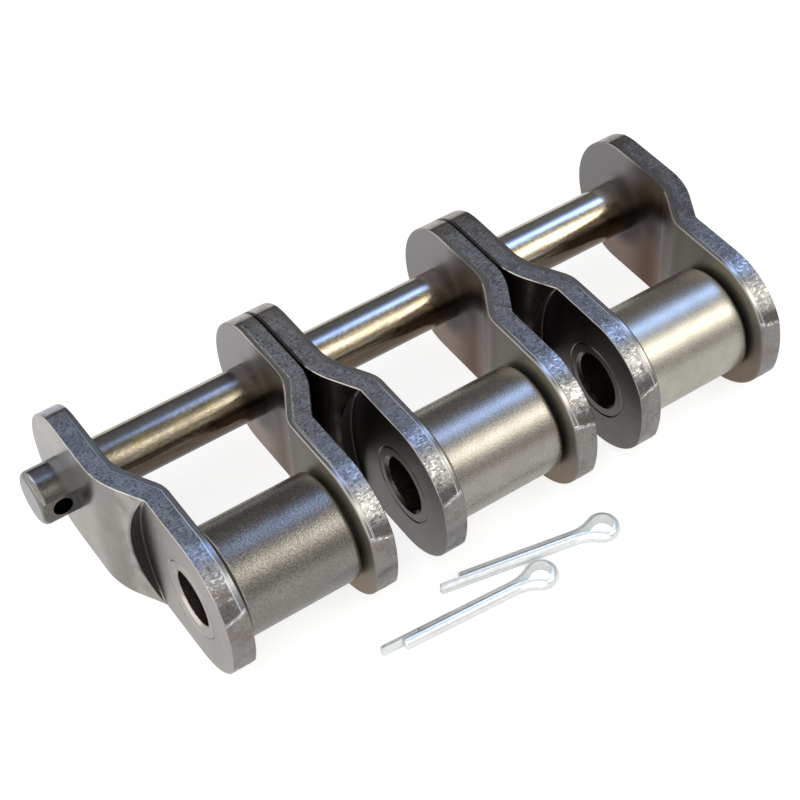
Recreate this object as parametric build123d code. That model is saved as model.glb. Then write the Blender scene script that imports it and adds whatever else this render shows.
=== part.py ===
"""Offset link for a three-strand roller chain, with its connecting pin and two cotters.

One half link of each strand: two cranked plates that stand wide at the pin end and narrow at the
bush end, a bush pressed into the narrow end and a roller that turns on the bush. One long pin
carries the three strands and holds them side by side.

Millimetres. The origin is on the pin's axis, in the middle strand's centre plane. +X runs from
the pin to the bushes, +Y along the pin to the far strand, and +Z is up. The plates stand on edge.
"""

from build123d import *
from collections import Counter
from math import acos, atan2, degrees, sin, tan
import os

# Chain sizes
pitch = 38.1
strand_pitch = 45.44
inner_width = 25.22
plate_thickness = 4.8
roller_diameter = 22.23
pin_diameter = 11.1
bush_diameter = 16.0

# Plate blank: straight flanks and half-round ends, with each end cropped by a second cut.
# A crop takes this much off the full round, with a radius this much larger than the round's.
plate_height = 30.0
pin_end_crop = 1.5
pin_end_blunting = 0.7
bush_end_crop = 0.6
bush_end_blunting = 8.6
crop_corner_round = 3.0
inner_edge_round = 0.4
outer_edge_break = 0.15

# Crank: its run along X, the shift of its middle from the middle between the holes, towards
# the bush, and its two bends, the wide one on the pin's side
crank_run = 9.4
crank_shift = 0.95
pin_bend_radius = 13.0
bush_bend_radius = 2.0
neighbour_gap = 0.2

# Pocket in the crank's outer side, where the round end of the next link's plate turns. Its wall
# is blunter than that round by this much, and the same cut takes this much off the bush end's face.
relief_clearance = 2.3
relief_blunting = 10.7
relief_cut = 0.02
relief_foot_round = 0.4

# Pin
pin_protrusion = 7.4
pin_end_round = 1.3
pin_flat_depth = 0.65
flat_run_past_plate = 0.3
cotter_hole_diameter = 4.0
cotter_hole_from_plate = 3.2

# Fits
pin_running_clearance = 0.05
bush_bore_clearance = 0.06
roller_running_clearance = 0.05
roller_side_clearance = 0.6
flat_clearance = 0.05

# Edges of the turned pieces
bush_mouth_chamfer = 0.6
bush_rim_chamfer = 0.25
plate_seat_chamfer = 0.2
roller_rim_round = 1.0
roller_bore_chamfer = 0.4

# Cotter, lying on the same surface as the plates
cotter_wire_diameter = 2.6
cotter_long_leg = 27.8
cotter_leg_difference = 4.3
cotter_split = 0.4
cotter_eye_radius = 2.1
cotter_neck_radius = 9.0
cotter_tip_chamfer = 0.2

# Where each cotter's eye centre lies, and its turn from the pin's direction
cotters = {
    "rear_cotter": {"eye_x": 59.5, "eye_y": 13.5, "turn_degrees": 11.1, "long_leg_side": 1},
    "front_cotter": {"eye_x": 61.7, "eye_y": -2.8, "turn_degrees": 3.9, "long_leg_side": -1},
}

# Worked out from the sizes above
half_inner = inner_width / 2
crank_offset = strand_pitch / 2 - neighbour_gap / 2 - plate_thickness - half_inner
bush_length = inner_width + 2 * plate_thickness
pin_end_outside = half_inner + crank_offset + plate_thickness
roller_length = inner_width - 2 * roller_side_clearance
strand_centres = {"near": -strand_pitch, "middle": 0.0, "far": strand_pitch}
outside_y = strand_pitch + pin_end_outside
pin_half_length = outside_y + pin_protrusion
flat_x = pin_diameter / 2 - pin_flat_depth
floor_z = -plate_height / 2


def along_y(radius, length, x=0.0, y=0.0):
    """A cylinder along Y, centred on (x, y, 0)."""
    return Pos(x, y, 0) * Rot(90, 0, 0) * Cylinder(radius, length)


def circles_by_radius(body):
    """The circular edges in groups, from a bore's mouths to the outer rims."""
    return body.edges().filter_by(GeomType.CIRCLE).group_by(SortBy.RADIUS)


def blank_outline():
    """The flat plate seen along Y: an obround whose two ends are cropped blunter."""
    obround = Pos(pitch / 2, 0) * SlotCenterToCenter(pitch, plate_height)
    pin_radius = plate_height / 2 + pin_end_blunting
    bush_radius = plate_height / 2 + bush_end_blunting
    pin_x = pin_end_crop + pin_end_blunting
    bush_x = pitch - bush_end_crop - bush_end_blunting
    reach = pitch + plate_height
    pin_crop = Pos(pin_x, 0) * Circle(pin_radius)
    pin_crop += Pos(pin_x + reach / 2, 0) * Rectangle(reach, 2 * pin_radius)
    bush_crop = Pos(bush_x, 0) * Circle(bush_radius)
    bush_crop += Pos(bush_x - reach / 2, 0) * Rectangle(reach, 2 * bush_radius)
    outline = obround & pin_crop & bush_crop
    corners = outline.vertices().sort_by(Axis.X)
    return fillet(corners[:2] + corners[-2:], crop_corner_round)


def crank_section():
    """The plate seen from above, for a plate whose outer face looks towards +Y.

    Both faces are straight runs joined by arcs about the same bend centres.
    """
    angle = atan2(crank_offset, crank_run)
    wide = half_inner + crank_offset
    narrow = half_inner
    left = -2 * plate_height
    right = pitch + 2 * plate_height
    lean = plate_thickness / 2 * tan(angle / 2)
    pin_corner = pitch / 2 + crank_shift - crank_run / 2
    bush_corner = pin_corner + crank_run
    inner = [
        (left, wide),
        (pin_corner - lean, wide),
        (bush_corner - lean, narrow),
        (right, narrow),
    ]
    uncut = narrow + plate_thickness + relief_cut
    outer = [
        (left, wide + plate_thickness),
        (pin_corner + lean, wide + plate_thickness),
        (bush_corner + lean, uncut),
        (right, uncut),
    ]
    inner_radii = [pin_bend_radius, bush_bend_radius + plate_thickness]
    outer_radii = [pin_bend_radius + plate_thickness, bush_bend_radius]
    inner_face = FilletPolyline(*inner, radius=inner_radii)
    outer_face = FilletPolyline(*outer, radius=outer_radii)
    ends = [Line(inner[0], outer[0]), Line(inner[-1], outer[-1])]
    return make_face(Curve() + [inner_face, outer_face] + ends)


def plate_blank():
    """A cranked plate without holes, on the +Y side of its strand's centre plane."""
    strip = Pos(0, 0, -plate_height) * extrude(crank_section(), 2 * plate_height)
    outline = Rot(90, 0, 0) * blank_outline()
    depth = 2 * pin_end_outside
    return strip & extrude(outline, depth, dir=(0, 1, 0))


def face_outline(body, side):
    """The edges round one broad face of a plate: the inner face for side -1, the outer for 1.

    The broad faces look along Y or lean a little from it, and an edge between two of them is
    a bend line, which isn't part of the outline.
    """
    broad = body.faces().filter_by(lambda face: round(face.normal_at().Y) == side)
    uses = Counter(edge for face in broad for edge in face.edges())
    return ShapeList(edge for edge, count in uses.items() if count == 1)


def end_relief():
    """What the pocket takes away: a disc that stands on the bush end's outer face.

    It covers that whole face and finishes it. Its foot is rounded, which leaves a small hollow
    round at the bottom of the pocket's wall.
    """
    radius = plate_height / 2 + relief_clearance + relief_blunting
    floor_y = half_inner + plate_thickness
    disc = along_y(radius, crank_offset, pitch + relief_blunting, floor_y + crank_offset / 2)
    foot = disc.edges().filter_by(GeomType.CIRCLE).sort_by(Axis.Y)[0]
    return fillet(foot, relief_foot_round)


def plate(strand, side, flat=False):
    """One cranked plate with its two holes, on side -1 (towards -Y) or 1 of its strand."""
    body = plate_blank()
    body = fillet(face_outline(body, -1), inner_edge_round)
    body = chamfer(face_outline(body, 1), outer_edge_break)
    middle_y = half_inner + crank_offset + plate_thickness / 2
    pin_hole = along_y(pin_diameter / 2 + pin_running_clearance, 2 * plate_thickness, 0, middle_y)
    if flat:
        beyond = Pos(flat_x + flat_clearance + pin_diameter / 2, middle_y, 0)
        pin_hole -= beyond * Box(pin_diameter, 3 * plate_thickness, 2 * pin_diameter)
    seat_y = half_inner + plate_thickness / 2
    bush_hole = along_y(bush_diameter / 2, 2 * plate_thickness, pitch, seat_y)
    rim = half_inner + plate_thickness
    seat_rim = Pos(pitch, rim - plate_seat_chamfer / 2, 0) * Rot(-90, 0, 0)
    seat_rim *= Cone(bush_diameter / 2, bush_diameter / 2 + plate_seat_chamfer, plate_seat_chamfer)
    body = body - end_relief() - pin_hole - bush_hole - seat_rim
    if side < 0:
        body = mirror(body, Plane.XZ)
    return Pos(0, strand_centres[strand], 0) * body


def bush(strand):
    """The bush: a tube flush with both plates, its bore flared at the mouths."""
    tube = along_y(bush_diameter / 2, bush_length)
    bore = along_y(pin_diameter / 2 + bush_bore_clearance, 2 * bush_length)
    rims = tube.edges().filter_by(GeomType.CIRCLE)
    body = chamfer(rims, bush_rim_chamfer) - bore
    body = chamfer(circles_by_radius(body)[0], bush_mouth_chamfer)
    return Pos(pitch, strand_centres[strand], 0) * body


def roller(strand):
    """The solid roller, which turns on the bush between the plates."""
    body = along_y(roller_diameter / 2, roller_length)
    body -= along_y(bush_diameter / 2 + roller_running_clearance, 2 * roller_length)
    body = chamfer(circles_by_radius(body)[0], roller_bore_chamfer)
    body = fillet(circles_by_radius(body)[-1], roller_rim_round)
    return Pos(pitch, strand_centres[strand], 0) * body


def connecting_pin():
    """The pin: rounded ends, a flat at the near end, and a cross hole for a cotter at each end."""
    body = along_y(pin_diameter / 2, 2 * pin_half_length)
    body = fillet(body.edges().filter_by(GeomType.CIRCLE), pin_end_round)
    flat_length = pin_protrusion + plate_thickness + flat_run_past_plate
    cut_x = flat_x + pin_diameter / 2
    cut_y = -pin_half_length + flat_length / 2
    body -= Pos(cut_x, cut_y, 0) * Box(pin_diameter, flat_length, 2 * pin_diameter)
    for end in (-1, 1):
        hole_y = end * (outside_y + cotter_hole_from_plate)
        drill = Cylinder(cotter_hole_diameter / 2, 2 * pin_diameter)
        body -= Pos(0, hole_y, 0) * Rot(0, 90, 0) * drill
    return body


def cotter(eye_x, eye_y, turn_degrees, long_leg_side):
    """A cotter: one half-round wire, bent round an eye so that its flats meet along the split.

    It is drawn with the eye's centre at the origin and its legs along -Y, then turned about Z.
    """
    half_split = cotter_split / 2
    reach = cotter_neck_radius + cotter_eye_radius
    bow = acos((half_split + cotter_neck_radius) / reach)
    neck_y = -reach * sin(bow)
    bow_degrees = degrees(bow)
    leg = Line((half_split, neck_y - cotter_long_leg), (half_split, neck_y))
    neck = JernArc(leg @ 1, leg % 1, cotter_neck_radius, -bow_degrees)
    eye = JernArc(neck @ 1, neck % 1, cotter_eye_radius, 180 + 2 * bow_degrees)
    far_neck = JernArc(eye @ 1, eye % 1, cotter_neck_radius, -bow_degrees)
    short_leg = cotter_long_leg - cotter_leg_difference
    far_leg = Line(far_neck @ 1, far_neck @ 1 + Vector(0, -short_leg))
    path = Curve() + [leg, neck, eye, far_neck, far_leg]
    wire_radius = cotter_wire_diameter / 2
    start = Plane(origin=leg @ 0, x_dir=(1, 0, 0), z_dir=(0, 1, 0))
    section = Circle(wire_radius) & Pos(wire_radius / 2, 0) * Rectangle(wire_radius, 4 * wire_radius)
    body = sweep(start * section, path)
    tips = body.faces().filter_by(Axis.Y).edges().filter_by(GeomType.CIRCLE)
    body = chamfer(tips, cotter_tip_chamfer)
    if long_leg_side < 0:
        body = mirror(body, Plane.YZ)
    return Pos(eye_x, eye_y, floor_z + wire_radius) * Rot(0, 0, -turn_degrees) * body


def build():
    """Every piece of the link, by its name."""
    pieces = {"connecting_pin": connecting_pin()}
    for strand in strand_centres:
        pieces[f"{strand}_front_plate"] = plate(strand, -1, flat=strand == "near")
        pieces[f"{strand}_back_plate"] = plate(strand, 1)
        pieces[f"{strand}_bush"] = bush(strand)
        pieces[f"{strand}_roller"] = roller(strand)
    for name, place in cotters.items():
        pieces[name] = cotter(**place)
    return pieces


def main():
    os.makedirs("parts", exist_ok=True)
    for name, piece in build().items():
        piece.label = name
        export_step(piece, f"parts/{name}.step")


main()
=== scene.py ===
"""Looks of the offset chain link: its metals, the shear marks on the plates, floor, light and camera."""
import bmesh
import bpy
import math
from mathutils import Matrix, Vector
from mathutils.bvhtree import BVHTree
from mathutils.noise import noise
from types import SimpleNamespace


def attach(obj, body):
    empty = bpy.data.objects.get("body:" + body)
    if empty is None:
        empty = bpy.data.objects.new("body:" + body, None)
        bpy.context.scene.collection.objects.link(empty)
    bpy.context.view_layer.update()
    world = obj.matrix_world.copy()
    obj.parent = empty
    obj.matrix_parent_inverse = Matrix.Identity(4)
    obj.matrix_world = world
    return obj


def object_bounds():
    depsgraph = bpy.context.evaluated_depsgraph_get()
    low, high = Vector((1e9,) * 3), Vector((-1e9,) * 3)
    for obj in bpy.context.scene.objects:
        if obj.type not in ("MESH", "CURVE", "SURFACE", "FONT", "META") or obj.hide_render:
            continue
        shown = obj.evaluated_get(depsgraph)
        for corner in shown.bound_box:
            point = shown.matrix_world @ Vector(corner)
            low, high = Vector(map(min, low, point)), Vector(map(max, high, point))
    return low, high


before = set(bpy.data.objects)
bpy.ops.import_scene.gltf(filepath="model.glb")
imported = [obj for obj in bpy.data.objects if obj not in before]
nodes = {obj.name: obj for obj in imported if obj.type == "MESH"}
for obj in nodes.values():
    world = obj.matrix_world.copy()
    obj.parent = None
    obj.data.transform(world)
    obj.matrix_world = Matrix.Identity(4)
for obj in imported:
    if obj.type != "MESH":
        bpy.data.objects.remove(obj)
cad_box = [list(corner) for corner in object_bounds()]

# Sizes of the link in millimetres, as in the part's source
PITCH = 38.1
STRAND_PITCH = 45.44
HALF_INNER = 12.61
THICKNESS = 4.8
CRANK_OFFSET = 5.21
CRANK_START = 15.3
CRANK_END = 24.7
POCKET_CENTRE = PITCH + 10.7
POCKET_RADIUS = 28.0
COTTER_HOLE_PLACE = 71.26
MM_PER_METRE = 1000.0
STRANDS = {"near": -STRAND_PITCH, "middle": 0.0, "far": STRAND_PITCH}
BODIES = {"near": "near_strand", "middle": "middle_strand", "far": "far_strand"}


class Nodes:
    """Adds nodes to one tree, with short calls. Values are sockets or plain numbers."""

    def __init__(self, tree):
        self.tree = tree
        self.tree.nodes.clear()

    def add(self, kind):
        return self.tree.nodes.new(kind)

    def join(self, source, target):
        self.tree.links.new(source, target)

    def put(self, value, target):
        """Links a socket, or writes a plain number."""
        if isinstance(value, bpy.types.NodeSocket):
            self.join(value, target)
        else:
            target.default_value = value

    def math(self, operation, a, b=0.0, c=0.0):
        node = self.add("ShaderNodeMath")
        node.operation = operation
        self.put(a, node.inputs[0])
        self.put(b, node.inputs[1])
        if operation == "MULTIPLY_ADD":
            self.put(c, node.inputs[2])
        return node.outputs[0]

    def product(self, first, *others):
        for other in others:
            first = self.math("MULTIPLY", first, other)
        return first

    def added(self, a, b):
        """The sum of two vectors or colours."""
        node = self.add("ShaderNodeVectorMath")
        self.put(a, node.inputs[0])
        self.put(b, node.inputs[1])
        return node.outputs[0]

    def stretched(self, vector, factors):
        """A vector or colour with each part times its own factor."""
        node = self.add("ShaderNodeVectorMath")
        node.operation = "MULTIPLY"
        self.put(vector, node.inputs[0])
        node.inputs[1].default_value = factors
        return node.outputs[0]

    def scaled(self, vector, factor):
        """A vector or colour times one number."""
        node = self.add("ShaderNodeVectorMath")
        node.operation = "SCALE"
        self.put(vector, node.inputs[0])
        self.put(factor, node.inputs["Scale"])
        return node.outputs[0]


class Paint(Nodes):
    """One material of metal. Places in it are in millimetres."""

    def __init__(self, name, base, roughness, metallic=1.0):
        self.material = bpy.data.materials.new(name)
        self.material.use_nodes = True
        super().__init__(self.material.node_tree)
        self.shader = self.add("ShaderNodeBsdfPrincipled")
        self.shader.inputs["Base Color"].default_value = (*base, 1.0)
        self.shader.inputs["Roughness"].default_value = roughness
        self.shader.inputs["Metallic"].default_value = metallic
        output = self.add("ShaderNodeOutputMaterial")
        self.join(self.shader.outputs["BSDF"], output.inputs["Surface"])
        coordinates = self.add("ShaderNodeTexCoord")
        _, self.facing_y, self.facing_z = self.parts(coordinates.outputs["Normal"])
        self.place = self.stretched(coordinates.outputs["Object"], (MM_PER_METRE, MM_PER_METRE, MM_PER_METRE))
        self.x, self.y, self.z = self.parts(self.place)

    def parts(self, vector):
        node = self.add("ShaderNodeSeparateXYZ")
        self.join(vector, node.inputs[0])
        return node.outputs[0], node.outputs[1], node.outputs[2]

    def rest_of(self, share):
        """1 where the share is 0, and 0 where it is 1."""
        return self.math("SUBTRACT", 1.0, share)

    def squares(self, a, b):
        """The sum of the squares of two values."""
        return self.math("ADD", self.product(a, a), self.product(b, b))

    def step(self, value, low, high):
        """0 below low, 1 above high, smooth between. With low above high it falls instead."""
        node = self.add("ShaderNodeMapRange")
        node.interpolation_type = "SMOOTHSTEP"
        node.clamp = True
        self.put(value, node.inputs["Value"])
        falls = low > high
        node.inputs["From Min"].default_value = min(low, high)
        node.inputs["From Max"].default_value = max(low, high)
        node.inputs["To Min"].default_value = 1.0 if falls else 0.0
        node.inputs["To Max"].default_value = 0.0 if falls else 1.0
        return node.outputs["Result"]

    def noise(self, scale, detail=2.0, roughness=0.5, stretch=(1.0, 1.0, 1.0), shift=0.0):
        """Noise whose grains are about 1 / scale millimetres across."""
        node = self.add("ShaderNodeTexNoise")
        vector = self.stretched(self.place, stretch)
        if shift:
            vector = self.added(vector, (shift, shift * 0.7, shift * 1.3))
        self.join(vector, node.inputs["Vector"])
        node.inputs["Scale"].default_value = scale
        node.inputs["Detail"].default_value = detail
        node.inputs["Roughness"].default_value = roughness
        return node.outputs["Fac"]

    def mix(self, share, a, b):
        """Colour a where share is 0, and b where it is 1. Colours are triples or sockets."""
        node = self.add("ShaderNodeMix")
        node.data_type = "RGBA"
        self.put(share, node.inputs["Factor"])
        self.put((*a, 1.0) if isinstance(a, tuple) else a, node.inputs["A"])
        self.put((*b, 1.0) if isinstance(b, tuple) else b, node.inputs["B"])
        return node.outputs["Result"]

    def coat(self, base, share, colour, amount):
        """A colour laid over the base where share is 1, as thick as the amount says."""
        return self.mix(self.product(share, amount), base, colour)

    def blend(self, share, a, b):
        """Number a where share is 0, and b where it is 1."""
        node = self.add("ShaderNodeMix")
        node.data_type = "FLOAT"
        self.put(share, node.inputs["Factor"])
        self.put(a, node.inputs["A"])
        self.put(b, node.inputs["B"])
        return node.outputs["Result"]

    def colour(self, value):
        self.put(value, self.shader.inputs["Base Color"])

    def roughness(self, value):
        self.put(value, self.shader.inputs["Roughness"])

    def bump(self, height, depth_mm):
        """Relief: height 1 stands depth_mm above height 0."""
        node = self.add("ShaderNodeBump")
        node.inputs["Strength"].default_value = 1.0
        node.inputs["Distance"].default_value = depth_mm / MM_PER_METRE
        self.put(height, node.inputs["Height"])
        self.join(node.outputs["Normal"], self.shader.inputs["Normal"])


def dress(names, paint):
    for name in names:
        for slot in nodes[name].material_slots:
            slot.material = paint.material


def shade(colour, factor):
    return tuple(min(1.0, factor * c) for c in colour)


class PlatePaint(Paint):
    """Plate steel: ground faces, and sheared edges with a burnished band next to the inner face.

    The cropped ends are smoother than the flanks, and a ridge runs across the edge where each
    crop meets the round. The look holds what differs from plate to plate, see plate_look.
    """

    # Zones in millimetres, each as the pair where it starts and where it is full
    POCKET_HEIGHT = (14.4, 14.2)
    POCKET_BUSH_SIDE = (27.0, 26.5)
    POCKET_PIN_SIDE = (18.0, 18.5)
    POCKET_WALL_FOOT = (3.2, 0.0)
    POCKET_WALL_BACK = (-0.6, -0.2)
    BUSH_CROP = (PITCH + 13.2, PITCH + 13.5)
    PIN_CROP = (-2.7, -3.0)
    TORN_PAST_BAND = (-0.08, 0.14)
    BAND_LINE_NEAR = (-0.34, -0.22)
    BAND_LINE_FAR = (-0.06, -0.16)
    OUTER_SKIN = (4.3, 4.5)
    TOWARDS_BUSH = (22.0, 34.0)
    CREVICE_END = (15.0, 13.5)
    BURR_START = (13.0, 15.0)
    BURR_FADES = (CRANK_END, CRANK_END + 3.0)
    TIP_RIDGE_START = (PITCH + 12.0, PITCH + 12.2)
    HEEL_RIDGE_HEIGHT = (13.5, 13.8)
    HEEL_RIDGE_WIDTH = (0.25, 0.05)
    BROWN_PATCH_START = (PITCH + 6.0, PITCH + 8.0)
    BROWN_PATCH_FADE = 1.2
    CREAM_HIGHLIGHT_START = (PITCH + 3.0, PITCH + 6.0)
    CREAM_HIGHLIGHT_LOWER = (9.9, 10.9)
    CREAM_HIGHLIGHT_UPPER = (14.2, 13.4)
    BUSH_TOP_START = (30.0, 34.0)
    BUSH_TOP_END = (PITCH + 6.0, PITCH + 1.0)
    SHADED_AWAY_FROM_PIN = (6.0, 14.0)
    WALL_FOOT_HEIGHT = (13.5, 9.0)
    INNER_BROWN_START = (2.0, 11.0)
    INNER_CRANK_START = (15.2, 15.9)
    INNER_ROLLER_START = (23.0, 29.0)
    INNER_SATIN_START = (14.0, 24.0)
    INNER_LOWER_HALF = (0.0, -8.0)
    PIN_SHADE_RADIUS = (11.0, 6.5)
    PIN_SHADE_START = (-4.0, 4.0)
    SHADE_ABOVE_PIN = (-4.0, 3.0)
    SHADE_ABOVE_PIN_START = (1.0, 9.0)
    SHADE_ABOVE_PIN_END = (15.8, 15.2)

    # How far a surface leans towards Y, from 0 for an edge to 1 for a broad face
    EDGE_LEAN = (0.5, 0.2)
    POCKET_LEAN = (0.80, 0.60)
    INNER_LEAN = (0.0, -0.3)
    BURR_LEAN_FROM = (0.30, 0.45)
    BURR_LEAN_TO = (0.92, 0.85)

    # Width of the burnished band in millimetres, and how much it wanders
    BAND_WIDTH = 0.95
    BAND_WANDER = 0.6

    # Depth of the relief in millimetres, and each form's share of it
    RELIEF_DEPTH = 0.16
    TORN_RELIEF = 0.42
    CALMED_RELIEF = 0.55
    SMOOTH_RELIEF = 0.05
    RIDGE_RELIEF = 0.5
    LINE_RELIEF = 0.08
    LINE_RELIEF_BY_BUSH = 0.17
    FACE_RELIEF = 0.06

    # Where the bush end's ridge crosses the edge, how it leans and how wide it is
    RIDGE_LOWEST = 6.95
    RIDGE_WANDER = 0.9
    RIDGE_LEAN = 0.25
    RIDGE_NARROWEST = 0.12
    RIDGE_SPREAD = 0.6
    HEEL_RIDGE_PLACE = 2.55

    # Colours, linear, and tints for each part of a colour
    TORN_BROWN = (0.13, 0.11, 0.095)
    CROP_GREY = (0.30, 0.28, 0.26)
    CROP_BROWN = (0.245, 0.215, 0.195)
    CROP_PIT = (0.17, 0.155, 0.145)
    CROP_SPECKLE = (0.38, 0.365, 0.35)
    HEEL_DARK = (0.27, 0.25, 0.24)
    HEEL_LIGHT = (0.42, 0.40, 0.39)
    SKY_REFLECTION_TINT = (1.08, 1.13, 1.20)
    INNER_LILAC = (0.275, 0.258, 0.262)
    INNER_BROWN = (0.122, 0.080, 0.063)
    INNER_CRANK = (0.20, 0.165, 0.15)
    INNER_BY_ROLLER = (0.27, 0.25, 0.215)
    LOW_TINT = (1.18, 0.95, 0.80)
    PIN_SHADE_COLOUR = (0.03, 0.026, 0.023)
    POCKET_WALL_SHADE = (0.05, 0.043, 0.041)
    CREVICE_SHADE = (0.02, 0.019, 0.018)
    BURR_HIGHLIGHT = (0.70, 0.67, 0.62)

    def __init__(self, strand, side, look):
        super().__init__(f"plate_{strand}_{'back' if side > 0 else 'front'}", look.face, 0.25)
        self.side = float(side)
        self.look = look
        self.shift = STRANDS[strand] / 7.0 + 3.0 * side
        self.find_zones(STRANDS[strand])
        self.find_grain()
        ridge = self.ridges()
        self.colour(self.all_colours(ridge))
        self.roughness(self.all_roughness())
        self.bump(self.relief(ridge), self.RELIEF_DEPTH)

    def find_zones(self, strand_y):
        """The depth into the thickness from the inner face, the height, and the zones of the plate."""
        self.lean = self.math("ABSOLUTE", self.facing_y)
        outward = self.product(self.math("SUBTRACT", self.y, strand_y), self.side)
        run = self.math("DIVIDE", self.math("SUBTRACT", CRANK_END, self.x), CRANK_END - CRANK_START)
        run = self.math("MINIMUM", self.math("MAXIMUM", run, 0.0), 1.0)
        self.depth = self.math("SUBTRACT", outward, self.math("MULTIPLY_ADD", run, CRANK_OFFSET, HALF_INNER))
        self.height = self.math("ABSOLUTE", self.z)
        inside = self.product(self.step(self.height, *self.POCKET_HEIGHT),
                              self.step(self.x, *self.POCKET_BUSH_SIDE),
                              self.step(self.x, *self.POCKET_PIN_SIDE))
        self.edge = self.product(self.step(self.lean, *self.EDGE_LEAN), self.rest_of(inside))
        self.pocket = self.product(self.step(self.lean, *self.POCKET_LEAN), inside)
        self.inner_side = self.step(self.product(self.facing_y, self.side), *self.INNER_LEAN)
        self.by_bush = self.step(self.x, *self.TOWARDS_BUSH)
        self.tip = self.step(self.x, *self.BUSH_CROP)
        self.heel = self.step(self.x, *self.PIN_CROP)

    def own_noise(self, scale, detail, roughness, stretch=(1.0, 1.0, 1.0), shift=0.0):
        """Noise that is different on each plate."""
        return self.noise(scale, detail, roughness, stretch, self.shift + shift)

    def find_grain(self):
        """The noises that several looks share, and the burnished and torn bands that they bound."""
        self.grain = self.own_noise(2.4, 6.0, 0.78, (1.0, 0.7, 1.0))
        self.dashes = self.own_noise(2.2, 3.0, 0.65, (1.0, 0.45, 1.0), 3.0)
        self.wander = self.own_noise(0.25, 3.0, 0.5)
        self.fine = self.own_noise(9.0, 2.0, 0.6)
        self.blotch = self.own_noise(0.45, 3.0, 0.6, shift=11.0)
        self.speckle = self.step(self.dashes, 0.51, 0.62)
        band_end = self.math("MULTIPLY_ADD", self.wander, self.BAND_WANDER, self.BAND_WIDTH)
        past_band = self.math("SUBTRACT", self.depth, band_end)
        cropped = self.math("MAXIMUM", self.tip, self.heel)
        self.torn = self.product(self.step(past_band, *self.TORN_PAST_BAND),
                                 self.rest_of(self.product(cropped, 0.75)))
        self.band_line = self.product(self.step(past_band, *self.BAND_LINE_NEAR),
                                      self.step(past_band, *self.BAND_LINE_FAR), self.rest_of(cropped))

    def ridges(self):
        """The lines across the edge where each crop meets the round, faint at the pin end."""
        place = self.own_noise(0.9, 2.0, 0.5, shift=2.0)
        place = self.math("MULTIPLY_ADD", place, self.RIDGE_WANDER, self.RIDGE_LOWEST)
        place = self.math("SUBTRACT", place, self.product(self.depth, self.RIDGE_LEAN))
        width = self.own_noise(0.7, 1.0, 0.5, shift=8.0)
        width = self.math("MULTIPLY_ADD", width, self.RIDGE_SPREAD, self.RIDGE_NARROWEST)
        away = self.math("ABSOLUTE", self.math("SUBTRACT", self.height, place))
        at_tip = self.step(self.math("DIVIDE", away, width), 1.0, 0.2)
        at_tip = self.product(at_tip, self.step(self.x, *self.TIP_RIDGE_START))
        away = self.math("ADD", self.x, self.math("MULTIPLY_ADD", self.wander, 0.5, self.HEEL_RIDGE_PLACE))
        at_heel = self.step(self.math("ABSOLUTE", away), *self.HEEL_RIDGE_WIDTH)
        at_heel = self.product(at_heel, self.step(self.height, *self.HEEL_RIDGE_HEIGHT))
        return self.math("MAXIMUM", at_tip, self.product(at_heel, 0.1))

    def torn_colour(self):
        """The rough band: blotched, with light dashes and dark pits, brown by the ridge, and a painted
        highlight above the brown patch.
        """
        edge, calm, brown_to = self.look.edge, self.look.calm, self.look.brown_to
        colour = self.mix(self.step(self.blotch, 0.35, 0.62), shade(edge, 0.60), shade(edge, 0.92))
        colour = self.coat(colour, self.speckle, shade(edge, 1.75), 0.8)
        specks = self.own_noise(2.3, 4.0, 0.7, (1.0, 0.6, 1.0), 5.0)
        pitted = self.step(specks, 0.50 - 0.03 * calm, 0.42 - 0.03 * calm)
        colour = self.coat(colour, pitted, shade(edge, 0.26), 0.75)
        by_ridge = self.product(self.step(self.height, brown_to, brown_to - self.BROWN_PATCH_FADE),
                                self.step(self.x, *self.BROWN_PATCH_START),
                                self.step(self.blotch, 0.30, 0.50))
        colour = self.coat(colour, by_ridge, self.TORN_BROWN, 0.75)
        # A painted highlight: the edge above the brown patch is painted brighter, on the near back plate.
        cream_zone = self.product(self.step(self.height, *self.CREAM_HIGHLIGHT_LOWER),
                                  self.step(self.height, *self.CREAM_HIGHLIGHT_UPPER),
                                  self.step(self.x, *self.CREAM_HIGHLIGHT_START))
        return self.mix(cream_zone, colour, self.scaled(colour, self.look.cream))

    def edge_colour(self, ridge):
        edge, calm = self.look.edge, self.look.calm
        smooth = self.mix(self.step(self.wander, 0.3, 0.7), shade(edge, 0.80), shade(edge, 1.05))
        brown = self.step(self.own_noise(0.30, 3.0, 0.6, shift=6.0), 0.46, 0.60)
        tip = self.mix(brown, self.CROP_GREY, self.CROP_BROWN)
        tip = self.coat(tip, self.step(self.fine, 0.55, 0.40), self.CROP_PIT, 0.5)
        tip = self.coat(tip, self.speckle, self.CROP_SPECKLE, 0.4)
        heel = self.mix(self.step(self.blotch, 0.35, 0.65), self.HEEL_DARK, self.HEEL_LIGHT)
        colour = self.mix(self.torn, smooth, self.torn_colour())
        colour = self.mix(self.tip, colour, tip)
        colour = self.mix(self.heel, colour, heel)
        # The band's line is painted lighter as a painted highlight, more towards the bush, on top of its
        # relief.
        line_share = self.math("MULTIPLY_ADD", self.by_bush, 0.3, 0.12)
        colour = self.coat(colour, self.band_line, shade(edge, 1.6), line_share)
        # Painted reflection and shade on the edges up to the bush, by the plate's tint.
        colour = self.mix(self.by_bush, self.stretched(colour, self.look.crank_tint), colour)
        # A painted reflection of the blue sky on the edge by the top of the bush end, less on calmer strands.
        sky_reflection_zone = self.product(self.step(self.x, *self.BUSH_TOP_START),
                                self.step(self.x, *self.BUSH_TOP_END), 1.0 - calm)
        colour = self.mix(sky_reflection_zone, colour, self.stretched(colour, self.SKY_REFLECTION_TINT))
        # The ridge is painted lighter as a painted highlight, on top of its relief.
        return self.coat(colour, ridge, shade(edge, 1.6), 0.55)

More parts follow.
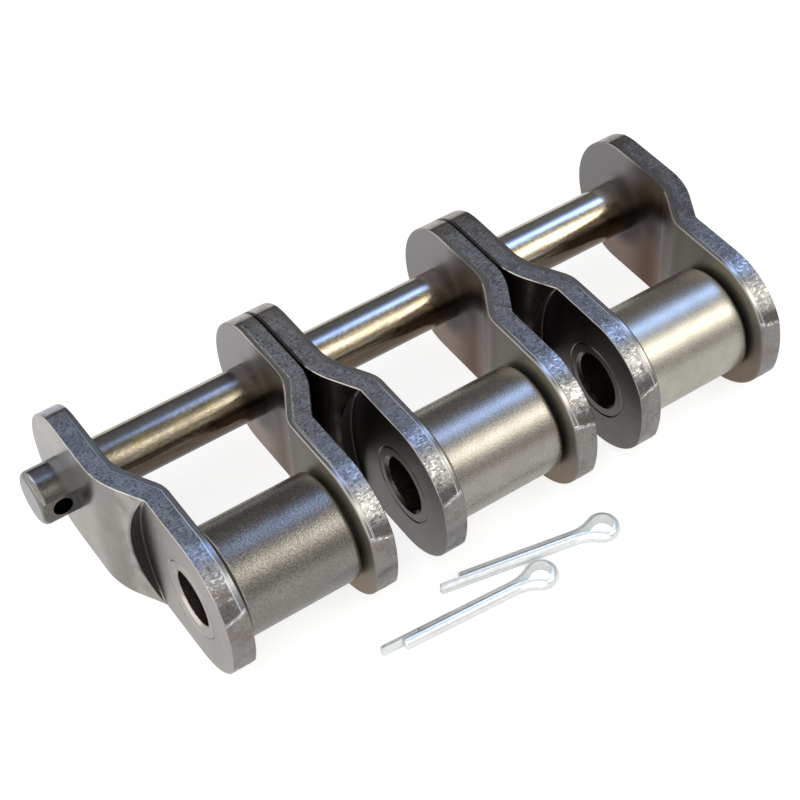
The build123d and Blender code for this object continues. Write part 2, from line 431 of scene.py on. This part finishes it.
    def outer_colour(self):
        """The ground outer face: cloudy, scratched and flecked, with painted shade away from the pin end and
        at the foot of the pocket's wall.
        """
        tone = self.look.face
        cloud = self.own_noise(0.12, 3.0, 0.6)
        flecks = self.step(self.own_noise(1.3, 2.0, 0.5, shift=9.0), 0.72, 0.78)
        scratch = self.step(self.own_noise(0.8, 4.0, 0.7, (1.0, 1.0, 0.12), 4.0), 0.60, 0.72)
        colour = self.mix(self.step(cloud, 0.35, 0.65), shade(tone, 0.86), tone)
        colour = self.coat(colour, scratch, shade(tone, 0.7), 0.25)
        colour = self.coat(colour, flecks, shade(tone, 1.9), self.look.wear)
        # Painted shade: the outer face is darker away from the pin end.
        colour = self.mix(self.step(self.x, *self.SHADED_AWAY_FROM_PIN), colour, self.scaled(colour, 0.74))
        # Painted shade on the pocket's floor at the foot of its wall, standing in for the dark wall mirrored
        # there.
        from_centre = self.math("SQRT", self.squares(self.math("SUBTRACT", self.x, POCKET_CENTRE), self.z))
        wall_gap = self.math("SUBTRACT", POCKET_RADIUS, from_centre)
        foot = self.product(self.step(wall_gap, *self.POCKET_WALL_FOOT),
                            self.step(wall_gap, *self.POCKET_WALL_BACK),
                            self.step(self.height, *self.WALL_FOOT_HEIGHT))
        return self.coat(colour, foot, self.scaled(colour, 0.22), 0.85)

    def inner_colour(self):
        """The inner face: lilac by the pin, brown before the crank, and with painted shade round the pin and
        above it.
        """
        # The strand's painted shade scales the inner face's colours.
        tone = self.look.inner_tone
        past_pin = self.step(self.x, *self.INNER_BROWN_START)
        by_crank = self.step(self.x, *self.INNER_CRANK_START)
        by_roller = self.step(self.x, *self.INNER_ROLLER_START)
        low = self.step(self.z, *self.INNER_LOWER_HALF)
        colour = self.mix(past_pin, shade(self.INNER_LILAC, tone), self.INNER_BROWN)
        colour = self.mix(by_crank, colour, shade(self.INNER_CRANK, tone))
        colour = self.mix(by_roller, colour, shade(self.INNER_BY_ROLLER, tone))
        colour = self.mix(low, colour, self.stretched(colour, self.LOW_TINT))
        # Painted shade round the pin, and above it up to the crank.
        from_pin = self.math("SQRT", self.squares(self.x, self.z))
        shade_round_pin = self.product(self.step(from_pin, *self.PIN_SHADE_RADIUS),
                               self.step(self.x, *self.PIN_SHADE_START))
        above = self.product(self.step(self.z, *self.SHADE_ABOVE_PIN),
                             self.step(self.x, *self.SHADE_ABOVE_PIN_END),
                             self.step(self.x, *self.SHADE_ABOVE_PIN_START))
        return self.coat(colour, self.math("MAXIMUM", shade_round_pin, above), self.PIN_SHADE_COLOUR, 0.85)

    def all_colours(self, ridge):
        face = self.mix(self.inner_side, self.outer_colour(), self.inner_colour())
        # Painted shade: the wall of the pocket is coloured near black.
        face = self.mix(self.pocket, face, self.POCKET_WALL_SHADE)
        colour = self.mix(self.edge, face, self.edge_colour(ridge))
        outer_skin = self.step(self.depth, *self.OUTER_SKIN)
        # Painted shade in the crevice where another plate stands against the pin end.
        crevice = self.product(outer_skin, self.step(self.x, *self.CREVICE_END))
        colour = self.coat(colour, crevice, self.CREVICE_SHADE, 0.95 if self.look.touching else 0.0)
        # A painted highlight along the burr at the outer edge, from the crank on.
        burr = self.product(self.step(self.lean, *self.BURR_LEAN_FROM),
                            self.step(self.lean, *self.BURR_LEAN_TO), outer_skin,
                            self.step(self.wander, 0.3, 0.6), self.step(self.x, *self.BURR_START))
        burr_highlight_share = self.blend(self.step(self.x, *self.BURR_FADES), 0.5, 0.22)
        return self.coat(colour, burr, self.BURR_HIGHLIGHT, burr_highlight_share)

    def all_roughness(self):
        inner = self.blend(self.step(self.x, *self.INNER_SATIN_START), 0.27, 0.40)
        face = self.blend(self.inner_side, self.blend(self.fine, 0.20, 0.30), inner)
        face = self.blend(self.pocket, face, 0.30)
        torn = self.blend(self.speckle, 0.34, 0.17 + 0.09 * self.look.calm)
        smooth = self.blend(self.fine, 0.18, 0.26)
        return self.blend(self.edge, face, self.blend(self.torn, smooth, torn))

    def relief(self, ridge):
        """Torn grain, the ridge and the band's line on the edge, and very little on the faces."""
        grain = self.math("ADD", self.product(self.grain, 0.4), self.product(self.dashes, 0.6))
        torn_height = self.TORN_RELIEF * (1.0 - self.CALMED_RELIEF * self.look.calm)
        grain = self.product(grain, self.math("MULTIPLY_ADD", self.torn, torn_height, self.SMOOTH_RELIEF))
        height = self.math("ADD", grain, self.product(ridge, self.RIDGE_RELIEF))
        line_height = self.math("MULTIPLY_ADD", self.by_bush, self.LINE_RELIEF_BY_BUSH, self.LINE_RELIEF)
        height = self.math("ADD", height, self.product(self.band_line, line_height))
        return self.blend(self.edge, self.product(self.fine, self.FACE_RELIEF), height)


def roller_paint(strand, base, low_rough, high_rough, speck):
    """Roller steel: satin and finely peened, with a little grain along its length."""
    p = Paint(f"roller_{strand}", base, low_rough)
    end_shade = (0.15, 0.145, 0.115)
    shift = STRANDS[strand] / 5.0
    fine = p.noise(3.0, 3.0, 0.6, (1.0, 0.8, 1.0), shift)
    cloud = p.noise(0.22, 3.0, 0.6, shift=shift)
    tone = p.mix(p.step(cloud, 0.3, 0.7), shade(base, 0.86), base)
    tone = p.coat(tone, p.step(fine, 0.56, 0.42), shade(base, 0.72), speck)
    # Painted shade on the roller's rounded ends, in the gaps against the plates.
    turned = p.step(p.math("ABSOLUTE", p.facing_y), 0.10, 0.35)
    p.colour(p.coat(tone, turned, end_shade, 0.75))
    p.roughness(p.blend(p.step(fine, 0.35, 0.65), low_rough, high_rough))
    p.bump(fine, 0.045 * speck + 0.004)
    return p


# Zones along the pin in millimetres, each as the pair where it starts and where it is full
PIN_BARE_END = (63.6, 63.9)
PIN_BESIDE_NEAR_PLATE = (-71.6, -70.0)
PIN_NEAR_HALF = (0.0, -1.0)
PIN_BEFORE_PLATE = (6.5, 2.5)
PIN_IN_PLATE = (-1.0, -0.5)
PIN_PAINTED_LIGHT = (-70.0, 60.0)
HOLE_MOUTH_SQUARED = (4.2, 3.9)


def pin_paint():
    """Pin steel: ground, with a straw to brown heat tint in drawn-out streaks."""
    p = Paint("pin_steel", (0.45, 0.38, 0.28), 0.2)
    along = p.math("ABSOLUTE", p.y)
    streak = p.noise(0.45, 4.0, 0.65, (1.0, 0.16, 1.0))
    fine = p.noise(2.6, 3.0, 0.65, (1.0, 0.4, 1.0), 4.0)
    tint = p.mix(p.step(streak, 0.36, 0.64), (0.31, 0.265, 0.20), (0.52, 0.47, 0.37))
    straw = p.step(p.noise(0.9, 3.0, 0.6, (1.0, 0.25, 1.0), 7.0), 0.50, 0.66)
    tint = p.coat(tint, straw, (0.50, 0.40, 0.20), 0.6)
    tint = p.coat(tint, p.step(fine, 0.6, 0.44), (0.18, 0.145, 0.11), 0.35)
    # Painted shade: the pin is darker below its upper side.
    tint = p.coat(tint, p.step(p.facing_z, 0.42, 0.12), (0.085, 0.062, 0.048), 0.8)

    # The bare ends, whose flat faces are lighter, and a painted reflection of the blue sky on top
    ends = p.step(along, *PIN_BARE_END)
    clean = p.mix(p.step(fine, 0.4, 0.6), (0.15, 0.14, 0.13), (0.19, 0.18, 0.165))
    clean = p.mix(p.step(p.math("ABSOLUTE", p.facing_y), 0.6, 0.8), clean, (0.26, 0.255, 0.25))
    tint = p.mix(ends, tint, clean)
    # A painted reflection of the blue sky along the top of the pin.
    tint = p.coat(tint, p.step(p.facing_z, 0.93, 0.99), (0.42, 0.47, 0.56), p.blend(ends, 0.55, 0.8))
    # Painted shade on the near end, next to the near plate.
    shade_beside_plate = p.product(p.step(p.y, *PIN_BESIDE_NEAR_PLATE), ends, p.step(p.y, *PIN_NEAR_HALF))
    tint = p.coat(tint, shade_beside_plate, (0.10, 0.10, 0.105), 0.7)

    # Painted shade in bands in front of the back plates, and painted light that makes the pin lighter towards
    # the far end
    for strand in STRANDS.values():
        gap = p.math("SUBTRACT", strand + HALF_INNER + CRANK_OFFSET, p.y)
        shade_by_plate = p.product(p.step(gap, *PIN_BEFORE_PLATE), p.step(gap, *PIN_IN_PLATE))
        tint = p.coat(tint, shade_by_plate, (0.07, 0.055, 0.045), 0.8)
    tint = p.mix(p.step(p.y, *PIN_PAINTED_LIGHT), tint, p.scaled(tint, 1.35))
    # Painted shade in and round the cotter's hole.
    hole_shade = p.step(p.squares(p.math("SUBTRACT", along, COTTER_HOLE_PLACE), p.z), *HOLE_MOUTH_SQUARED)
    p.colour(p.mix(hole_shade, tint, (0.06, 0.065, 0.065)))
    p.roughness(p.blend(p.step(fine, 0.35, 0.65), 0.12, 0.19))
    p.bump(fine, 0.003)
    return p


# Radii on the bush in millimetres, and where its near end begins along Y
BORE_EDGE = (5.75, 5.66)
MOUTH_EDGE = (6.25, 6.1)
NEAR_BUSH_END = (-55.0, -60.0)


def bush_paint():
    """Bush steel: turned end faces, painted lighter at the near end than in the gaps as painted light and
    shade, with a painted highlight on the chamfer at the bore, and a stained bore.
    """
    p = Paint("bush_steel", (0.40, 0.37, 0.34), 0.3)
    radius = p.math("SQRT", p.squares(p.math("SUBTRACT", p.x, PITCH), p.z))
    bore = p.step(radius, *BORE_EDGE)
    # Painted light and shade: the near end face is lighter than the end faces in the gaps between strands,
    # and the chamfer at the bore gets a painted highlight.
    mouth_highlight = p.product(p.step(radius, *MOUTH_EDGE), p.rest_of(bore))
    front = p.step(p.y, *NEAR_BUSH_END)
    end_face = p.mix(front, (0.17, 0.155, 0.15), (0.34, 0.32, 0.30))
    end_face = p.mix(mouth_highlight, end_face, p.mix(front, (0.20, 0.19, 0.185), (0.44, 0.42, 0.40)))
    stained = p.mix(p.step(p.noise(1.6, 3.0, 0.7), 0.42, 0.6), (0.27, 0.20, 0.18), (0.46, 0.41, 0.38))
    p.colour(p.mix(bore, end_face, stained))
    p.roughness(p.blend(bore, p.blend(p.noise(5.0, 2.0, 0.6), 0.20, 0.30), 0.22))
    p.bump(p.noise(2.0, 3.0, 0.6), 0.01)
    return p


def wire_paint():
    """Zinc plate over drawn wire, with a few specks of rust."""
    p = Paint("zinc_wire", (0.78, 0.81, 0.81), 0.3, 0.62)
    fine = p.noise(0.8, 3.0, 0.6, shift=2.0)
    zinc = p.mix(p.step(fine, 0.35, 0.65), (0.82, 0.86, 0.85), (0.90, 0.94, 0.96))
    rust = p.step(p.noise(0.55, 3.0, 0.7, shift=6.0), 0.66, 0.74)
    p.colour(p.coat(zinc, rust, (0.36, 0.24, 0.15), 0.7))
    p.roughness(p.blend(fine, 0.18, 0.28))
    p.bump(fine, 0.02)
    return p


# The raised line across each bush end's edge, in millimetres. The section is across and up, in
# half widths and heights. Wobble moves the line and ragged varies its height, each with the grain
# and the seed of its noise.
RIDGE_PLACE = 7.4
RIDGE_SKEW = 0.25
RIDGE_HEIGHT = 0.14
RIDGE_HALF_WIDTH = 0.22
RIDGE_STATIONS = 24
RIDGE_MARGIN = 0.3
RIDGE_SECTION = ((-1.0, -0.4), (-0.45, 0.65), (0.0, 1.0), (0.4, 0.55), (1.0, -0.4))
RIDGE_LEAST_SWELL = 0.05
WOBBLE = 0.25
WOBBLE_GRAIN = 1.1
WOBBLE_SEED = 3.0
RAGGED = 0.5
RAGGED_GRAIN = 2.3
RAGGED_SEED = 7.0
BEYOND_TIP = 30.0


def tip_bead(strand, side, up):
    """Raised line across a plate's edge, where the crop meets the round of the bush end.

    It lies on the plate's own surface, is highest in mid-thickness and fades towards both faces.
    """
    name = f"{strand}_{'back' if side > 0 else 'front'}_plate"
    plate = nodes[name].data
    surface = BVHTree.FromPolygons([v.co for v in plate.vertices], [f.vertices[:] for f in plate.polygons])
    shape = bmesh.new()
    rings = []
    for station in range(RIDGE_STATIONS + 1):
        share = station / RIDGE_STATIONS
        depth = RIDGE_MARGIN + (THICKNESS - 2 * RIDGE_MARGIN) * share
        wobble = noise(Vector((depth * WOBBLE_GRAIN, side * WOBBLE_SEED, STRANDS[strand] + up))) * WOBBLE
        y = STRANDS[strand] + side * (HALF_INNER + depth)
        z = up * (RIDGE_PLACE - RIDGE_SKEW * depth + wobble)
        start = Vector((PITCH + BEYOND_TIP, y, z)) / MM_PER_METRE
        point, normal, _, _ = surface.ray_cast(start, Vector((-1.0, 0.0, 0.0)))
        normal = Vector((normal.x, 0.0, normal.z)).normalized()
        along = normal.cross(Vector((0.0, 1.0, 0.0)))
        ragged = noise(Vector((depth * RAGGED_GRAIN, side * RAGGED_SEED, STRANDS[strand] - up)))
        swell = math.sin(math.pi * share) ** 0.5
        swell *= 1.0 - RAGGED / 2 + RAGGED * ragged
        ring = []
        for across, height in RIDGE_SECTION:
            lift = RIDGE_HEIGHT * (height * max(swell, RIDGE_LEAST_SWELL) if height > 0 else height)
            place = point + (along * across * RIDGE_HALF_WIDTH + normal * lift) / MM_PER_METRE
            ring.append(shape.verts.new(place))
        rings.append(ring)
    for first, second in zip(rings, rings[1:]):
        for k in range(len(first)):
            after = (k + 1) % len(first)
            shape.faces.new((first[k], first[after], second[after], second[k]))
    shape.faces.new(rings[0][::-1])
    shape.faces.new(rings[-1])
    bmesh.ops.recalc_face_normals(shape, faces=shape.faces)
    mesh = bpy.data.meshes.new(f"{name}_ridge_{'upper' if up > 0 else 'lower'}")
    shape.to_mesh(mesh)
    shape.free()
    piece = bpy.data.objects.new(mesh.name, mesh)
    bpy.context.scene.collection.objects.link(piece)
    mesh.materials.append(nodes[name].material_slots[0].material)
    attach(piece, BODIES[strand])


# How much of the inner faces' colour each strand keeps: painted shade that darkens the middle and far
# strands.
INNER_SHADE_BY_STRAND = {"near": 1.0, "middle": 0.9, "far": 0.78}
CALM = {"near": 0.0, "middle": 0.6, "far": 1.0}
# Tints for the edges up to the bush: a painted reflection of the blue light on the near front plate, and
# painted shade that darkens the far plates.
CRANK_SHEEN_AND_SHADE = {
    ("near", -1): (1.02, 1.10, 1.26),
    ("near", 1): (1.08, 1.06, 1.02),
    ("middle", -1): (1.05, 1.02, 0.98),
    ("middle", 1): (1.0, 0.96, 0.90),
    ("far", -1): (0.90, 0.85, 0.78),
    ("far", 1): (0.76, 0.70, 0.63),
}


def plate_look(strand, side):
    """What differs from plate to plate.

    face and edge are the colours of the outer face and of the sheared edge, and inner_tone scales
    the inner face as painted shade. wear is how far the outer face has rubbed bright. A touching
    plate has another plate against its pin end, with painted shade in the crevice between the two.
    crank_tint tints the edges up to the bush with painted reflection and shade. brown_to
    is how high the brown patch next to a ridge reaches, and cream is how much brighter
    the edge is painted above that patch, as a painted highlight. calm is 1 for a smoother, greyer edge.
    """
    near_front = (strand, side) == ("near", -1)
    near_back = (strand, side) == ("near", 1)
    far_back = (strand, side) == ("far", 1)
    look = SimpleNamespace()
    # The near front plate's open outer face is painted lighter than the outer faces in the gaps between
    # strands, as painted light and shade, and its edge a little bluer as a painted reflection of the blue
    # light.
    look.face = (0.30, 0.27, 0.25) if side > 0 else (0.25, 0.225, 0.22)
    look.edge = (0.38, 0.375, 0.37)
    look.wear = 0.15
    look.brown_to = 9.6
    if near_front:
        look.face = (0.45, 0.42, 0.39)
        look.edge = (0.39, 0.40, 0.42)
        look.wear = 0.45
        look.brown_to = 12.4
    look.touching = not near_front and not far_back
    look.cream = 1.5 if near_back else 1.0
    look.inner_tone = INNER_SHADE_BY_STRAND[strand]
    look.crank_tint = CRANK_SHEEN_AND_SHADE[strand, side]
    look.calm = CALM[strand]
    return look


for strand in STRANDS:
    for side, name in ((-1, "front"), (1, "back")):
        dress([f"{strand}_{name}_plate"], PlatePaint(strand, side, plate_look(strand, side)))
        tip_bead(strand, side, 1)
        tip_bead(strand, side, -1)
# The three rollers are one steel: the near one is painted darker and the far one lighter, as painted shade
# and light.
dress(["near_roller"], roller_paint("near", (0.31, 0.295, 0.27), 0.21, 0.27, 0.9))
dress(["middle_roller"], roller_paint("middle", (0.44, 0.415, 0.37), 0.24, 0.29, 0.55))
dress(["far_roller"], roller_paint("far", (0.54, 0.515, 0.45), 0.27, 0.33, 0.35))
dress(["connecting_pin"], pin_paint())
dress([f"{strand}_bush" for strand in STRANDS], bush_paint())
dress(["rear_cotter", "front_cotter"], wire_paint())

# Floor: pale, and seen and mirrored as white, with the link's own soft shadow on it
FLOOR_COLOUR = (0.36, 0.36, 0.36, 1.0)
FLOOR_GLOW = 0.45
CAMERA_GLOW = 0.31
FLOOR_HALF_SIZE = 3.0
FLOOR_CELLS = 8
floor_height = cad_box[0][2]
floor_mesh = bpy.data.meshes.new("floor")
shape = bmesh.new()
bmesh.ops.create_grid(shape, x_segments=FLOOR_CELLS, y_segments=FLOOR_CELLS, size=FLOOR_HALF_SIZE)
shape.to_mesh(floor_mesh)
shape.free()
floor = bpy.data.objects.new("floor", floor_mesh)
floor.location = (0.0, 0.0, floor_height)
bpy.context.scene.collection.objects.link(floor)
floor_look = bpy.data.materials.new("pale_floor")
floor_look.use_nodes = True
ground = Nodes(floor_look.node_tree)
rays = ground.add("ShaderNodeLightPath").outputs
any_view = ground.math("MAXIMUM", rays["Is Camera Ray"], rays["Is Glossy Ray"])
any_view = ground.math("MAXIMUM", any_view, rays["Is Transmission Ray"])
level = ground.math("MULTIPLY", any_view, FLOOR_GLOW)
matt = ground.add("ShaderNodeBsdfDiffuse")
matt.inputs["Color"].default_value = FLOOR_COLOUR
glow = ground.add("ShaderNodeEmission")
ground.join(ground.math("MULTIPLY_ADD", rays["Is Camera Ray"], CAMERA_GLOW, level), glow.inputs["Strength"])
both = ground.add("ShaderNodeAddShader")
ground.join(matt.outputs[0], both.inputs[0])
ground.join(glow.outputs[0], both.inputs[1])
ground.join(both.outputs[0], ground.add("ShaderNodeOutputMaterial").inputs["Surface"])
floor_mesh.materials.append(floor_look)


def direction(azimuth, elevation):
    """Unit vector, with the azimuth counted from +X towards +Y."""
    a = math.radians(azimuth)
    e = math.radians(elevation)
    return (math.cos(e) * math.cos(a), math.cos(e) * math.sin(a), math.sin(e))


# World: a dim room, lighter on the side of the bushes, with a fill from the near end and soft
# lights in it. Each light is (azimuth, elevation, spread, colour, strength).
ROOM_COLOUR = (1.0, 0.98, 0.95)
ROOM_LEVEL = 0.115
ROOM_FRONT_SHARE = 0.31
ROOM_FRONT_AZIMUTH = 15.0
FILL_COLOUR = (1.0, 0.985, 0.96)
FRONT_FILL = 1.5
FILL_START = 0.12
FILL_RISE = 4.0
SOFT_LIGHTS = (
    (42.0, 43.0, 14.0, (1.0, 0.96, 0.87), 4.3),
    (113.0, 59.0, 11.0, (0.36, 0.54, 1.0), 4.6),
)
world = bpy.data.worlds.new("studio")
world.use_nodes = True
bpy.context.scene.world = world
sky = Nodes(world.node_tree)
where = sky.add("ShaderNodeTexCoord")


def facing(vector):
    """The cosine between the way that is seen and the vector."""
    node = sky.add("ShaderNodeVectorMath")
    node.operation = "DOT_PRODUCT"
    sky.join(where.outputs["Generated"], node.inputs[0])
    node.inputs[1].default_value = vector
    return node.outputs["Value"]


front_share = sky.product(sky.math("ADD", facing(direction(ROOM_FRONT_AZIMUTH, 0.0)), 1.0), 0.5)
total = sky.scaled(ROOM_COLOUR, sky.math("ADD", sky.product(front_share, ROOM_FRONT_SHARE), ROOM_LEVEL))
fill = sky.product(sky.math("SUBTRACT", FILL_START, facing((0.0, 1.0, 0.0))), FILL_RISE)
fill = sky.math("MINIMUM", sky.math("MAXIMUM", fill, 0.0), 1.0)
total = sky.added(total, sky.scaled(FILL_COLOUR, sky.product(fill, FRONT_FILL)))
for azimuth, elevation, spread, colour, strength in SOFT_LIGHTS:
    sharpness = 1.0 / (1.0 - math.cos(math.radians(spread)))
    fall = sky.product(sky.math("SUBTRACT", facing(direction(azimuth, elevation)), 1.0), sharpness)
    lobe = sky.product(sky.math("POWER", math.e, fall), strength)
    total = sky.added(total, sky.scaled(colour, lobe))
room = sky.add("ShaderNodeBackground")
sky.join(total, room.inputs["Color"])
backdrop = sky.add("ShaderNodeBackground")
backdrop.inputs["Color"].default_value = (1.0, 1.0, 1.0, 1.0)
chosen = sky.add("ShaderNodeMixShader")
sky.join(sky.add("ShaderNodeLightPath").outputs["Is Camera Ray"], chosen.inputs[0])
sky.join(room.outputs[0], chosen.inputs[1])
sky.join(backdrop.outputs[0], chosen.inputs[2])
sky.join(chosen.outputs[0], sky.add("ShaderNodeOutputWorld").inputs["Surface"])

# Camera at the photograph's angle. Its place is in pitches from the origin.
VIEW_AZIMUTH = 57.006
VIEW_ELEVATION = 46.700
VIEW_ROLL = -2.575
VIEW_DISTANCE = 11.7115
VIEW_TARGET = (-0.3141, 0.6945, -1.2438)
FOCAL_PIXELS = 1964.2
CENTRE_COLUMN = 450.0
FRAME_PIXELS = 800.0
SENSOR_WIDTH = 36.0
CLIP_START = 0.01
CLIP_END = 20.0
pitch_m = PITCH / MM_PER_METRE
a = math.radians(VIEW_AZIMUTH)
e = math.radians(VIEW_ELEVATION)
r = math.radians(VIEW_ROLL)
ahead = Vector((-math.cos(e) * math.sin(a), math.cos(e) * math.cos(a), -math.sin(e)))
level_right = Vector((math.cos(a), math.sin(a), 0.0))
level_up = level_right.cross(ahead)
right = level_right * math.cos(r) + level_up * math.sin(r)
up = level_up * math.cos(r) - level_right * math.sin(r)
lens = bpy.data.cameras.new("camera")
lens.sensor_width = SENSOR_WIDTH
lens.lens = FOCAL_PIXELS / FRAME_PIXELS * lens.sensor_width
lens.shift_x = (FRAME_PIXELS / 2 - CENTRE_COLUMN) / FRAME_PIXELS
lens.clip_start = CLIP_START
lens.clip_end = CLIP_END
camera = bpy.data.objects.new("camera", lens)
bpy.context.scene.collection.objects.link(camera)
turn = Matrix((right, up, -ahead)).transposed()
camera_place = Vector(VIEW_TARGET) * pitch_m - ahead * VIEW_DISTANCE * pitch_m
camera.matrix_world = Matrix.Translation(camera_place) @ turn.to_4x4()
bpy.context.scene.camera = camera

bpy.context.scene.view_settings.view_transform = "Standard"
